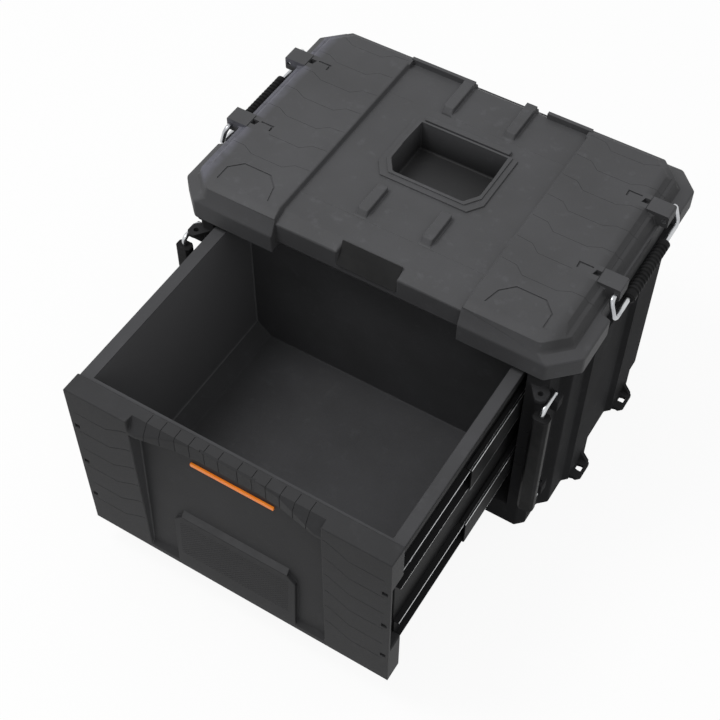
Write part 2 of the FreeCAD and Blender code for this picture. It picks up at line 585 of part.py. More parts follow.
def make_handles():
    made = []
    reach = "(lug_pitch / 2 + lug_width / 2 + leg_gap)"
    inner = "(lug_pitch / 2 + lug_width / 2 - pin_length)"
    for side, sign in sides.items():
        corners = [(f"-{inner}", "0"), (f"-{reach}", "0"), (f"-{reach}", "-handle_drop"),
                   (reach, "-handle_drop"), (reach, "0"), (inner, "0")]
        bail = wire_bail(f"{side}_handle_bail", corners, "XZ_Plane", inner, ("0", "0"))
        grip = new_body(f"{side}_handle_grip")
        tube = circles(grip, "tube", "XZ_Plane", [("0", "-handle_drop")], "handle_grip_radius",
                       "handle_grip_length / 2")
        add_circle(tube, "0", "-handle_drop", "wire_radius + grip_clearance")
        grow(grip, tube, "handle_grip_length", backwards=True)
        for piece in (bail, grip):
            set_base(piece, f"{sign} * handle_x", handle_mid, "rim_height + handle_rise")
            piece.Placement.Rotation = Rotation(Vector(0, -1, 0), float(sign) * worth("handle_lean"))
            piece.setExpression("Placement.Rotation.Angle", bound("handle_lean"))
            piece.setExpression("Placement.Rotation.Axis.y", f"-({sign})")
            made.append(piece)
    return made


def make_bails():
    made = []
    pin_end = "(bail_half - pin_length)"
    for side, sign in sides.items():
        corners = [("0", pin_end), ("0", "bail_half"), ("-bail_reach", "bail_half"),
                   ("-bail_reach", "-bail_half"), ("0", "-bail_half"), ("0", f"-{pin_end}")]
        bail = wire_bail(f"{side}_corner_bail", corners, "XY_Plane", pin_end, ("0", "0"))
        grip = new_body(f"{side}_corner_grip")
        section = octagon("(bail_grip_width / 2)", "(-bail_reach - bail_grip_depth / 2)",
                          "(-bail_reach + bail_grip_depth / 2)", "bail_grip_corner", "bail_grip_corner")
        block = polygon(grip, "block", "XY_Plane", section, "-bail_grip_length / 2")
        add_circle(block, "0", "-bail_reach", "wire_radius + grip_clearance")
        grow(grip, block, "bail_grip_length")
        for piece in (bail, grip):
            set_base(piece, f"{sign} * bail_x", f"{front} + bail_y", bail_mid)
            made.append(piece)
    return made


def panel_at(height):
    # How far back the leaning panel lies at a height.
    lean = "(panel_top_recess - panel_low_recess) / (panel_top - panel_low)"
    return f"{drawer_front_y} + panel_low_recess + ({height} - panel_low) * {lean}"


def make_drawer():
    body = new_body("drawer_front")
    back = f"-({bin_start})"
    face = f"-({drawer_front_y})"
    slab = rectangle(body, "slab", "XZ_Plane", "-front_half", "front_half", "front_low", "front_top", back)
    grow(body, slab, "front_depth")
    panel = polygon(body, "panel", "YZ_Plane",
                    [(f"{drawer_front_y} - {overcut}", "panel_foot"), (drawer_front_y, "panel_foot"),
                     (f"{drawer_front_y} + panel_low_recess", "panel_low"),
                     (f"{drawer_front_y} + panel_top_recess", "panel_top"),
                     (f"{drawer_front_y} - {overcut}", "panel_top")], "-panel_half")
    carve(body, panel, "2 * panel_half", backwards=True)
    kick = mirrored_outline([("kick_half", "panel_foot"), ("kick_half", "kick_top - kick_corner"),
                             ("kick_half - kick_corner", "kick_top")])
    grow(body, polygon(body, "kick", "XZ_Plane", kick, f"{face} - panel_top_recess"), "panel_top_recess")
    kick_face = polygon(body, "kick_face", "YZ_Plane",
                        [(f"{drawer_front_y} - {overcut}", "panel_low"), (drawer_front_y, "panel_low"),
                         (f"{drawer_front_y} + kick_lean", "kick_top"),
                         (f"{drawer_front_y} + kick_lean", f"kick_top + {overcut}"),
                         (f"{drawer_front_y} - {overcut}", f"kick_top + {overcut}")], "-kick_half")
    carve(body, kick_face, "2 * kick_half", backwards=True)
    lip = polygon(body, "lip", "YZ_Plane",
                  [(f"{drawer_front_y} - {overcut}", "front_top - lip_fall"),
                   (drawer_front_y, "front_top - lip_fall"), (f"{drawer_front_y} + lip_slope", "front_top"),
                   (f"{drawer_front_y} + lip_slope", f"front_top + {overcut}"),
                   (f"{drawer_front_y} - {overcut}", f"front_top + {overcut}")], "-panel_half")
    carve(body, lip, "2 * panel_half", backwards=True)
    scoop = [("scoop_half", f"{drawer_front_y} - {overcut}"), ("scoop_half", drawer_front_y),
             ("scoop_edge", f"{drawer_front_y} + scoop_edge_depth"),
             ("scoop_mid", f"{drawer_front_y} + scoop_mid_depth"),
             ("scoop_flat", f"{drawer_front_y} + scoop_depth")]
    finger = polygon(body, "scoop", "XY_Plane", mirrored_outline(scoop), f"front_top + {overcut}")
    carve(body, finger, f"lip_height + 2 * {overcut}")
    hollow = polygon(body, "hollow", "YZ_Plane",
                     [(f"{bin_start} + {overcut}", "panel_low"),
                      (f"{drawer_front_y} + panel_low_recess + front_wall", "panel_low"),
                      (f"{drawer_front_y} + panel_top_recess + front_wall", "panel_top"),
                      (f"{bin_start} + {overcut}", "panel_top")], "-panel_half")
    carve(body, hollow, "2 * panel_half", backwards=True)
    pillar = box("panel_half + front_wall", "front_half - side_cut_depth - front_wall",
                 "front_low + cut_frame", "front_top - cut_frame")
    side_cut = box("front_half - side_cut_depth", f"front_half + {overcut}", "side_cut_low", "side_cut_top")
    backs = outlines(body, "pillar_backs", "XZ_Plane", both(pillar) + both(side_cut), f"{back} - {overcut}")
    carve(body, backs, f"front_depth - side_plate + {overcut}", backwards=True)
    catches = []
    for step in range(3):
        middle = f"(catch_first + {step} * catch_pitch)"
        catches += both(box("front_half - catch_set - catch_size / 2",
                            "front_half - catch_set + catch_size / 2",
                            f"{middle} - catch_size / 2", f"{middle} + catch_size / 2"))
    notches = outlines(body, "catches", "XZ_Plane", catches, f"{face} + {overcut}")
    carve(body, notches, f"catch_depth + {overcut}")

    strip = new_body("accent_strip")
    strip_top = "(panel_top - strip_drop)"
    strip_low = "(panel_top - strip_drop - strip_height)"
    section = polygon(strip, "section", "YZ_Plane",
                      [(f"{drawer_front_y} + strip_face", strip_low), (panel_at(strip_low), strip_low),
                       (panel_at(strip_top), strip_top), (f"{drawer_front_y} + strip_face", strip_top)],
                      "-strip_half")
    grow(strip, section, "2 * strip_half")

    tub = new_body("drawer_bin")
    flange = "(bin_half + bin_flange)"
    outer = [("bin_half - bin_chamfer", "bin_low"), ("bin_half", "bin_low + bin_chamfer"),
             ("bin_half", "bin_top - bin_flange_depth"), (flange, "bin_top - bin_flange_depth"),
             (flange, "bin_top")]
    grow(tub, polygon(tub, "outer", "XZ_Plane", mirrored_outline(outer), back), "bin_length", backwards=True)
    inner = [("bin_inner - bin_chamfer", "bin_low + bin_floor"),
             ("bin_inner", "bin_low + bin_floor + bin_chamfer"), ("bin_inner", f"bin_top + {overcut}")]
    space = polygon(tub, "inner", "XZ_Plane", mirrored_outline(inner), f"{back} - bin_end")
    carve(tub, space, "bin_length - 2 * bin_end")
    webs = [(y, z) for z in slides.values() for y in screw_rows(bin_start)]
    for side, sign in sides.items():
        holes = circles(tub, f"{side}_rail_holes", "YZ_Plane", webs, "screw_radius + hole_clearance",
                        f"{sign} * (bin_half + {overcut})")
        carve(tub, holes, f"screw_length + {overcut} + hole_clearance", backwards=sign == "-1")
    return [body, strip, tub]


def channel(label, sign, web, lip_end, half, height, start, length, gauge_sign, screws=None):
    # A rail of C section: a web at one X, with two lips towards another X.
    body = new_body(label)
    inside = f"({web} + ({gauge_sign}) * rail_gauge)"
    section = [(web, f"{height} - {half}"), (lip_end, f"{height} - {half}"),
               (lip_end, f"{height} - {half} + rail_gauge"), (inside, f"{height} - {half} + rail_gauge"),
               (inside, f"{height} + {half} - rail_gauge"), (lip_end, f"{height} + {half} - rail_gauge"),
               (lip_end, f"{height} + {half}"), (web, f"{height} + {half}")]
    section = [(f"{sign} * ({x})", z) for x, z in section]
    grow(body, polygon(body, "section", "XZ_Plane", section, f"-({start})"), length, backwards=True)
    if screws:
        holes = circles(body, "holes", "YZ_Plane", [(y, height) for y in screws],
                        "screw_radius + hole_clearance", f"{sign} * ({web} - ({gauge_sign}) * {overcut})")
        towards = (sign == "1") == (gauge_sign == "1")
        carve(body, holes, f"rail_gauge + 2 * {overcut}", backwards=towards)
    return body


def screw_group(label, places, turn):
    # Pan heads on short shanks, along one axis: each place is where the head meets its seat.
    screws = []
    for number, (x, y, z, length) in enumerate(places):
        head = doc.addObject("Part::Cylinder", f"{label}_head_{number}")
        head.setExpression("Radius", bound("screw_head"))
        head.setExpression("Height", bound("head_thick"))
        shank = doc.addObject("Part::Cylinder", f"{label}_shank_{number}")
        shank.setExpression("Radius", bound("screw_radius"))
        shank.setExpression("Height", bound(f"{length} + head_thick"))
        screw = doc.addObject("Part::Fuse", f"{label}_screw_{number}")
        screw.Base = head
        screw.Tool = shank
        head.setExpression("Placement.Base.z", bound("-head_thick"))
        shank.setExpression("Placement.Base.z", bound("-head_thick"))
        screw.Placement.Rotation = turn[number] if isinstance(turn, list) else turn
        set_base(screw, x, y, z)
        screws.append(screw)
    group = doc.addObject("Part::Compound", label)
    group.Label = label
    group.Links = screws
    return group


def make_slides():
    made = []
    inner_half = "(rail_half - 2 * rail_gauge - 2 * rail_clearance)"
    mid_half = "(rail_half - rail_gauge - rail_clearance)"
    case_start = f"({front} + rail_start)"
    mid_start = f"({front} + rail_start - drawer_travel / 2 + (rail_length - mid_length) / 2)"
    case_screws = []
    drawer_screws = []
    case_turns = []
    drawer_turns = []
    for side, sign in sides.items():
        for level, height in slides.items():
            made.append(channel(f"{side}_{level}_case_rail", sign, "bay_half", "bin_half + lip_start",
                                "rail_half", height, case_start, "rail_length", "-1", screw_rows(case_start)))
            made.append(channel(f"{side}_{level}_mid_rail", sign, "(bay_half - mid_web)",
                                "bin_half + lip_start", mid_half, height, mid_start, "mid_length", "-1"))
            made.append(channel(f"{side}_{level}_drawer_rail", sign, "bin_half", "bin_half + inner_lip",
                                inner_half, height, bin_start, "rail_length", "1", screw_rows(bin_start)))
            outward = Rotation(Vector(0, 1, 0), 90 * float(sign))
            inward = Rotation(Vector(0, 1, 0), -90 * float(sign))
            for y in screw_rows(case_start):
                case_screws.append((f"{sign} * (bay_half - rail_gauge)", y, height, "screw_length"))
                case_turns.append(outward)
            for y in screw_rows(bin_start):
                drawer_screws.append((f"{sign} * (bin_half + rail_gauge)", y, height, "screw_length"))
                drawer_turns.append(inward)
    made.append(screw_group("case_rail_screws", case_screws, case_turns))
    made.append(screw_group("drawer_rail_screws", drawer_screws, drawer_turns))
    cover_places = [(x, y, f"{cover_low} - flange_thick", "cover_screw_length")
                    for x, y in cover_screw_places()]
    made.append(screw_group("cover_screws", cover_places, Rotation()))
    return made


pieces = [make_case(), *make_cover(), *make_handles(), *make_bails(), *make_drawer(), *make_slides()]
doc.recompute()

for obj in doc.Objects:
    if "Invalid" in obj.State or "Error" in obj.State:
        raise RuntimeError(f"{obj.Name} failed: {obj.State}")
for cut in cuts:
    if cut.Shape.Volume > cut.BaseFeature.Shape.Volume - 1e-3:
        raise RuntimeError(f"{cut.Name} cuts nothing")
for piece in pieces:
    if piece.Shape.isNull() or not piece.Shape.isValid():
        raise RuntimeError(f"{piece.Label} has no valid shape")

os.makedirs("parts", exist_ok=True)
for piece in pieces:
    piece.Shape.exportStep(f"parts/{piece.Label}.step")
    print(piece.Label, len(piece.Shape.Solids), round(piece.Shape.Volume / 1000, 1), "cm3")
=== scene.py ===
import json
import math

import bpy
from mathutils import Matrix, Vector


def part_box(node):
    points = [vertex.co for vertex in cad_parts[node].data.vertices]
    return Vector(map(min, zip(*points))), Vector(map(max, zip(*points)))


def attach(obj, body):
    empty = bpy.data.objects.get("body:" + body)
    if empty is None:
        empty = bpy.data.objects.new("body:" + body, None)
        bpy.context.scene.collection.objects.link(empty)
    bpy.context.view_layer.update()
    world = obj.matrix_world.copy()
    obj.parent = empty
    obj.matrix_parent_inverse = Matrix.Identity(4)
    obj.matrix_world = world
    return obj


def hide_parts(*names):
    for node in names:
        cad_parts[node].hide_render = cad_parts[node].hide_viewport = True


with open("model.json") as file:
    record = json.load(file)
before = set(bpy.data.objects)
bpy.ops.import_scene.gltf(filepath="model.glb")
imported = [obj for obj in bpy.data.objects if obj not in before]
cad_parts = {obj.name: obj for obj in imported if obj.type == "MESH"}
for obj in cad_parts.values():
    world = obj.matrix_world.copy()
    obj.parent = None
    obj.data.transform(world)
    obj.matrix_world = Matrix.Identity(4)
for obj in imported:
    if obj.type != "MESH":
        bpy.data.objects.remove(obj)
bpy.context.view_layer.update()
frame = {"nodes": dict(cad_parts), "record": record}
bodyOf = {node: body for body, nodes in frame["record"]["behaviour"]["bodies"].items()
          for node in nodes}
mm = 0.001  # plain places in the looks of the pieces are in millimetres, sizes times mm in metres
print("frame loaded")


# selecting and shaping

def clearSelection():
    if bpy.context.object and bpy.context.object.mode != "OBJECT":
        bpy.ops.object.mode_set(mode="OBJECT")
    bpy.ops.object.select_all(action="DESELECT")


def pick(*pieces):
    clearSelection()
    for piece in pieces:
        piece.select_set(True)
    bpy.context.view_layer.objects.active = pieces[0]


def editAll(piece):
    pick(piece)
    bpy.ops.object.mode_set(mode="EDIT")
    bpy.ops.mesh.select_all(action="SELECT")


def leaveEdit():
    bpy.ops.object.mode_set(mode="OBJECT")


def settle(piece):
    pick(piece)
    bpy.ops.object.transform_apply(location=True, rotation=True, scale=True)


def faceOutwards(piece):
    editAll(piece)
    bpy.ops.mesh.normals_make_consistent(inside=False)
    leaveEdit()


def mergedCopy(node, near=0.005 * mm, flat=0.5):
    # a CAD node's mesh as a new piece, its loose triangles joined into whole faces
    source = frame["nodes"][node]
    piece = source.copy()
    piece.data = source.data.copy()
    piece.data.materials.clear()
    piece.parent = None
    bpy.context.scene.collection.objects.link(piece)
    piece.matrix_world = Matrix.Identity(4)
    piece.name = node.replace("_", "") + "Piece"
    editAll(piece)
    bpy.ops.mesh.customdata_custom_splitnormals_clear()
    bpy.ops.mesh.remove_doubles(threshold=near)
    bpy.ops.mesh.dissolve_limited(angle_limit=math.radians(flat))
    leaveEdit()
    faceOutwards(piece)
    return piece


def splitAt(piece, **planes):
    # flat cuts, so that no face runs right round a hole
    editAll(piece)
    for axis, places in planes.items():
        facing = [float(axis == name) for name in "xyz"]
        for place in places:
            bpy.ops.mesh.select_all(action="SELECT")
            bpy.ops.mesh.bisect(plane_co=[place * part * mm for part in facing], plane_no=facing)
    leaveEdit()


def applyModifier(piece, kind, **settings):
    pick(piece)
    modifier = piece.modifiers.new(kind.title(), kind)
    for name, value in settings.items():
        setattr(modifier, name, value)
    bpy.ops.object.modifier_apply(modifier=modifier.name)


edgeLook = {"sharp": math.radians(25), "slimCorner": math.radians(25), "sameLine": 0.05 * mm,
            "pastEnds": 1 * mm, "mostRoom": 1.0, "shareOfRoom": 0.2, "leastShare": 0.1}


def roomBeside(mesh, start, stop, face):
    # how far a face reaches from one of its edges, or 0 where that edge ends in a slim corner
    along = stop - start
    span = along.length
    along = along / span
    inward = face.normal.cross(along)
    corners = [mesh.vertices[index].co for index in face.vertices]
    for number, corner in enumerate(corners):
        if (corner - start).length and (corner - stop).length:
            continue
        ahead = corners[(number + 1) % len(corners)] - corner
        behind = corners[number - 1] - corner
        if ahead.angle(behind, math.pi) < edgeLook["slimCorner"]:
            return 0
    room = edgeLook["mostRoom"]
    past = edgeLook["pastEnds"]
    for corner in corners:
        offset = corner - start
        reach = abs(offset.dot(inward))
        if reach > edgeLook["sameLine"] and -past < offset.dot(along) < span + past:
            room = min(room, reach)
    return room


def inBox(point, box):
    return all(low <= place / mm <= high for place, low, high in zip(point, *box))


def roundEdges(piece, width, shortest=4 * mm, segments=3, spare=None):
    # every sharp edge is rounded as far as its faces leave room, but for those in the spare box
    mesh = piece.data
    weights = mesh.attributes.new("bevel_weight_edge", "FLOAT", "EDGE")
    beside = {}
    for face in mesh.polygons:
        for key in face.edge_keys:
            beside.setdefault(key, []).append(face)
    for edge in mesh.edges:
        faces = beside.get(edge.key, [])
        start, stop = (mesh.vertices[index].co for index in edge.vertices)
        if len(faces) != 2 or (stop - start).length < shortest:
            continue
        if spare and inBox(start, spare) and inBox(stop, spare):
            continue
        if faces[0].normal.angle(faces[1].normal, 0) < edgeLook["sharp"]:
            continue
        room = min(roomBeside(mesh, start, stop, face) for face in faces)
        share = min(1, edgeLook["shareOfRoom"] * room / width)
        if share > edgeLook["leastShare"]:
            weights.data[edge.index].value = share
    applyModifier(piece, "BEVEL", width=width, segments=segments, limit_method="WEIGHT",
                  use_clamp_overlap=False)


def combine(piece, others, operation):
    pick(*others)
    if len(others) > 1:
        bpy.ops.object.join()
    applyModifier(piece, "BOOLEAN", operation=operation, object=others[0], solver="MANIFOLD")
    bpy.data.objects.remove(others[0])


def addTo(piece, blocks):
    combine(piece, blocks, "UNION")


def cutWith(piece, cutters):
    combine(piece, cutters, "DIFFERENCE")


def block(low, high):
    # a cube set to two corners
    clearSelection()
    bpy.ops.mesh.primitive_cube_add(size=1)
    made = bpy.context.object
    made.scale = (Vector(high) - Vector(low)) * mm
    made.location = (Vector(high) + Vector(low)) / 2 * mm
    settle(made)
    return made


def smooth(piece, angle=32):
    pick(piece)
    bpy.ops.object.shade_smooth_by_angle(angle=math.radians(angle))
    applyModifier(piece, "WEIGHTED_NORMAL", keep_sharp=True)


def finishPiece(piece, node, material):
    piece.data.materials.clear()
    piece.data.materials.append(material)
    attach(piece, bodyOf[node])
    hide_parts(node)


def grooveRun(points, plane, across, down):
    # a diamond drawn along a line: it looks along the plane's axis, and its half sizes are in axis order
    clearSelection()
    turn, flat = {
        "X": ((0, math.pi / 2, 0), (1, across, down)),
        "Y": ((math.pi / 2, 0, 0), (across, 1, down)),
        "Z": ((0, 0, 0), (across, down, 1)),
    }[plane]
    bpy.ops.mesh.primitive_circle_add(vertices=4, radius=1, fill_type="NGON", rotation=turn)
    run = bpy.context.object
    settle(run)
    places = [Vector(point) * mm for point in points]
    run.scale = flat
    run.location = places[0]
    settle(run)
    editAll(run)
    for start, stop in zip(places, places[1:]):
        bpy.ops.mesh.extrude_region_move(TRANSFORM_OT_translate={"value": stop - start})
    leaveEdit()
    faceOutwards(run)
    return run


def copyMoved(piece, step, mirrorX=False):
    other = piece.copy()
    other.data = piece.data.copy()
    bpy.context.scene.collection.objects.link(other)
    if mirrorX:
        other.scale.x = -1
    other.location = step
    settle(other)
    if mirrorX:
        faceOutwards(other)
    return other


def withMirrors(runs):
    return runs + [copyMoved(run, (0, 0, 0), mirrorX=True) for run in runs]


def stacked(first, look):
    # a run, its copies one above the other, and their mirror images
    copies = [copyMoved(first, (0, 0, number * look["pitch"] * mm)) for number in range(1, look["count"])]
    return withMirrors([first] + copies)


# materials

class Value:
    # a socket that can be used in sums
    def __init__(self, maker, socket):
        self.maker = maker
        self.socket = socket

    def sum(self, operation, first, second=None):
        values = [first] if second is None else [first, second]
        return self.maker.add("ShaderNodeMath", {"operation": operation}, dict(enumerate(values)))

    def __add__(self, other):
        return self.sum("ADD", self, other)

    __radd__ = __add__

    def __sub__(self, other):
        return self.sum("SUBTRACT", self, other)

    def __rsub__(self, other):
        return self.sum("SUBTRACT", other, self)

    def __mul__(self, other):
        return self.sum("MULTIPLY", self, other)

    __rmul__ = __mul__

    def __gt__(self, other):
        return self.sum("GREATER_THAN", self, other)

    def __lt__(self, other):
        return self.sum("LESS_THAN", self, other)

    def __abs__(self):
        return self.sum("ABSOLUTE", self)

    def least(self, other):
        return self.sum("MINIMUM", self, other)

    def most(self, other):
        return self.sum("MAXIMUM", self, other)


class Finish:
    # the nodes of a material or of the world
    def __init__(self, holder):
        holder.use_nodes = True
        self.holder = holder
        self.nodes = holder.node_tree.nodes
        self.links = holder.node_tree.links

    def add(self, kind, settings=None, inputs=None, output=0):
        node = self.nodes.new(kind)
        for name, value in (settings or {}).items():
            setattr(node, name, value)
        for name, value in (inputs or {}).items():
            self.feed(node.inputs[name], value)
        return Value(self, node.outputs[output])

    def feed(self, socket, value):
        if isinstance(value, Value):
            self.links.new(value.socket, socket)
        else:
            socket.default_value = value

    def also(self, value, output):
        # another output of the node that a value comes from
        return Value(self, value.socket.node.outputs[output])

    def place(self, output="Object"):
        return self.add("ShaderNodeTexCoord", output=output)

    def axes(self, output="Object"):
        x = self.add("ShaderNodeSeparateXYZ", inputs={"Vector": self.place(output)}, output="X")
        return x, self.also(x, "Y"), self.also(x, "Z")

    def noise(self, scale, detail=3, rough=0.55, stretch=(1, 1, 1)):
        spread = self.add("ShaderNodeMapping", inputs={"Vector": self.place(), "Scale": stretch})
        return self.add("ShaderNodeTexNoise", inputs={"Vector": spread, "Scale": scale,
                                                      "Detail": detail, "Roughness": rough})

    def blend(self, mask, first, second):
        # the colour sockets of a Mix node are its sixth and seventh
        return self.add("ShaderNodeMix", {"data_type": "RGBA"}, {0: mask, 6: first, 7: second}, output=2)

    def range(self, value, span, to=(0, 1)):
        return self.add("ShaderNodeMapRange", inputs=dict(enumerate((value, *span, *to))))

    def bump(self, height, strength, distance):
        return self.add("ShaderNodeBump", inputs={"Height": height, "Strength": strength,
                                                  "Distance": distance})

    def seen(self):
        # what the lens, a mirror or glass sees
        camera = self.add("ShaderNodeLightPath", output="Is Camera Ray")
        mirror, glass = (self.also(camera, f"Is {ray} Ray") for ray in ("Glossy", "Transmission"))
        return camera.most(mirror).most(glass)

    def wear(self, **sockets):
        shader = self.nodes["Principled BSDF"]
        for name, value in sockets.items():
            self.feed(shader.inputs[name.replace("_", " ")], value)
        return self.holder


def newFinish(name):
    return Finish(bpy.data.materials.new(name))


def grey(level, blue=1.04, green=1.005):
    return (level, level * green, level * blue, 1)


# moulded plastic

plasticLook = {
    "cloud": {"scale": 9, "detail": 4}, "cloudSpan": (0.35, 0.68), "cloudShare": 0.6,
    "fine": {"detail": 2, "rough": 0.6}, "fineSpan": (0.3, 0.7), "paleBlue": 1.06,
    # the scuff noise and the scuff tones serve the real scuffs, and also the patches of painted highlight
    # on the cover's slope
    "scuffAndHighlightNoise": {"scale": 55, "detail": 4, "rough": 0.65}, "patchSpan": (0.3, 0.6),
    "scuffSpan": (0.58, 0.74), "scuffAndHighlightTone": 1.7, "scuffAndHighlightBlue": 1.08,
    "poresFiner": 2.3, "poresShare": 0.3,
    "roughSpan": (0.25, 0.75), "roughSpread": 0.07, "bump": (0.4, 0.4 * mm),
}


def paintedLightPatchMask(finish, to):
    # patches of painted light, in the pattern of the scuffs: from the first amount between the patches to
    # the second in them
    return finish.range(finish.noise(**plasticLook["scuffAndHighlightNoise"]), plasticLook["patchSpan"], to)


def trayShade(finish, colour, level, zone):
    # the tray is darker towards its floor and its rear
    x, y, z = finish.axes()
    inside = (abs(x) < zone["half"]) * (y > zone["near"]) * (y < zone["far"])
    deep = finish.range(z, (zone["high"], zone["low"]))
    rearward = finish.range(y, (zone["near"], zone["far"]), zone["shade"])
    return finish.blend(inside * deep * rearward, colour, grey(level * zone["tone"]))


def slopeShadeAndHighlight(finish, colour, level, zone):
    # painted light: the slope outside the right wing gets painted shade, and the left one a pale bluish
    # painted highlight in patches, but not at the lugs
    x, y, z = finish.axes()
    besideLugs = abs(abs(y - zone["middle"]) - zone["away"]) > zone["lug"]
    outward = finish.range(abs(x), (zone["inner"], zone["inner"] + zone["soft"]))
    slope = outward * (z > zone["low"]) * besideLugs
    colour = finish.blend(slope * (x > 0) * zone["shade"], colour, grey(level * zone["shadeTone"]))
    crest = slope * (x < 0) * finish.range(z, (zone["high"], zone["high"] + zone["rise"]))
    pale = grey(level * zone["scuffAndHighlightTone"], zone["scuffAndHighlightBlue"])
    return finish.blend(crest * paintedLightPatchMask(finish, zone["paintedLightPatches"]), colour, pale)


def panelWallPaintedLight(finish, colour, level, zone):
    # painted light: the side walls of the panel are painted paler
    x, y, z = finish.axes()
    wall = (abs(x) > zone["near"]) * (abs(x) < zone["far"]) * (y > zone["depth"]) * (z < zone["high"])
    return finish.blend(wall * zone["share"], colour, grey(level * zone["tone"]))


def rampPaintedLight(finish, colour, level, zone):
    # painted light: the ramp over the kick pad faces up, and is painted paler in patches
    x, _, z = finish.axes()
    ramp = (abs(x) < zone["half"]) * (z > zone["low"]) * (z < zone["high"])
    return finish.blend(ramp * paintedLightPatchMask(finish, zone["paintedLightPatches"]), colour, grey(level * zone["tone"]))


def binDarkSidesAndWallLight(finish, colour, level, zone):
    # the outside is dark where the rails run, and the inside of the left wall gets painted light: it is
    # painted paler
    x, _, z = finish.axes()
    below = z < zone["high"]
    colour = finish.blend((abs(x) > zone["edge"]) * below, colour, grey(level * zone["railTone"]))
    wall = (x < -zone["inner"]) * (x > -zone["edge"]) * below
    return finish.blend(wall * zone["share"], colour, grey(level * zone["wallLightTone"]))


def makeMoulded(name, look):
    shared = plasticLook
    level, grain = look["level"], look["grain"]
    finish = newFinish(name)
    cloud = finish.noise(**shared["cloud"])
    fine = finish.noise(grain, **shared["fine"])
    pores = finish.noise(grain * shared["poresFiner"], detail=1)
    share = shared["cloudShare"]
    mottle = (finish.range(cloud, shared["cloudSpan"]) * share
              + finish.range(fine, shared["fineSpan"]) * (1 - share))
    dark = grey(level * (1 - look["mottled"]))
    pale = grey(level * (1 + look["mottled"]), shared["paleBlue"])
    colour = finish.blend(mottle, dark, pale)
    rubbed = finish.range(finish.noise(**shared["scuffAndHighlightNoise"]), shared["scuffSpan"]) * look["worn"]
    colour = finish.blend(rubbed, colour, grey(level * shared["scuffAndHighlightTone"], shared["scuffAndHighlightBlue"]))
    # painted light and painted shade laid over the plastic's colour; the bin's painter also makes its
    # outside dark
    for painter, zone in look.get("paintedLightAndTones", ()):
        colour = painter(finish, colour, level, zone)
    share = shared["poresShare"]
    height = fine * (1 - share) + pores * share
    least, most = look["rough"] - shared["roughSpread"], look["rough"] + shared["roughSpread"]
    return finish.wear(Base_Color=colour, Roughness=finish.range(fine, shared["roughSpan"], (least, most)),
                       Normal=finish.bump(height, *shared["bump"]), Specular_IOR_Level=look["sheen"])


coverPlastic = {
    "level": 0.062, "grain": 650, "mottled": 0.14, "worn": 0.35, "rough": 0.6, "sheen": 0.2,
    "paintedLightAndTones": (
        (trayShade, {"half": 64.5 * mm, "near": -31.5 * mm, "far": 65.5 * mm, "low": 350 * mm,
                     "high": 389 * mm, "shade": (0.45, 0.95), "tone": 0.25}),
        (slopeShadeAndHighlight, {"inner": 237 * mm, "soft": 12 * mm, "low": 376 * mm, "high": 384 * mm, "rise": 5 * mm,
                     "middle": 16 * mm, "away": 69 * mm, "lug": 12 * mm, "shade": 0.55, "shadeTone": 0.4,
                     "paintedLightPatches": (0.35, 0.9), "scuffAndHighlightTone": 1.9, "scuffAndHighlightBlue": 1.2}),
    ),
}
frontPlastic = {
    "level": 0.034, "grain": 650, "mottled": 0.14, "worn": 0.3, "rough": 0.6, "sheen": 0.14,
    "paintedLightAndTones": (
        (panelWallPaintedLight, {"near": 131 * mm, "far": 132.8 * mm, "depth": -488 * mm, "high": 306 * mm,
                     "share": 0.8, "tone": 2.6}),
        (rampPaintedLight, {"half": 77.2 * mm, "low": 167.2 * mm, "high": 175.4 * mm, "paintedLightPatches": (0.6, 0.9),
                    "tone": 2.1}),
    ),
}
casePlastic = {
    "level": 0.034, "grain": 650, "mottled": 0.2, "worn": 0.3, "rough": 0.55, "sheen": 0.004,
}
binPlastic = {
    "level": 0.062, "grain": 750, "mottled": 0.14, "worn": 0.2, "rough": 0.5, "sheen": 0.03,
    "paintedLightAndTones": (
        (binDarkSidesAndWallLight, {"edge": 206.5 * mm, "high": 331 * mm, "inner": 203 * mm, "railTone": 0.25,
                   "share": 0.7, "wallLightTone": 2.2}),
    ),
}


# metal, rubber and trim

zincLook = {
    "streak": {"scale": 140, "rough": 0.6, "stretch": (1, 1, 0.15)}, "dull": {"scale": 35, "detail": 4},
    "dark": (0.42, 0.43, 0.45, 1), "bright": (0.6, 0.61, 0.62, 1), "dullSpan": (0.35, 0.7),
    "streakSpan": (0.3, 0.7), "rough": (0.18, 0.32), "hazeSpan": (0.4, 0.8), "haze": (0, 0.1),
    "bump": (0.15, 0.2 * mm),
}


def makeZinc(name, look):
    finish = newFinish(name)
    streak = finish.noise(**look["streak"])
    dull = finish.noise(**look["dull"])
    colour = finish.blend(finish.range(dull, look["dullSpan"]), look["dark"], look["bright"])
    rough = finish.range(streak, look["streakSpan"], look["rough"])
    haze = finish.range(dull, look["hazeSpan"], look["haze"])
    return finish.wear(Base_Color=colour, Metallic=1.0, Roughness=rough + haze,
                       Normal=finish.bump(streak, *look["bump"]))


railLook = {
    "upper": 257 * mm, "lower": 134.5 * mm,
    "outerEdge": 221.6 * mm, "outerRise": 20.0 * mm,
    "innerNear": 219.3 * mm, "innerFar": 220.1 * mm, "innerRise": 18.3 * mm,
    "rub": {"scale": 60, "detail": 4, "rough": 0.6, "stretch": (1, 0.12, 1)},
    "wornSpan": (0.36, 0.46), "worn": (0.35, 1), "coat": grey(0.022), "bare": (0.7, 0.71, 0.72, 1),
    "roughSpan": (0.3, 0.7), "rough": (0.26, 0.42), "bump": (0.1, 0.2 * mm), "sheen": 0.006,
}


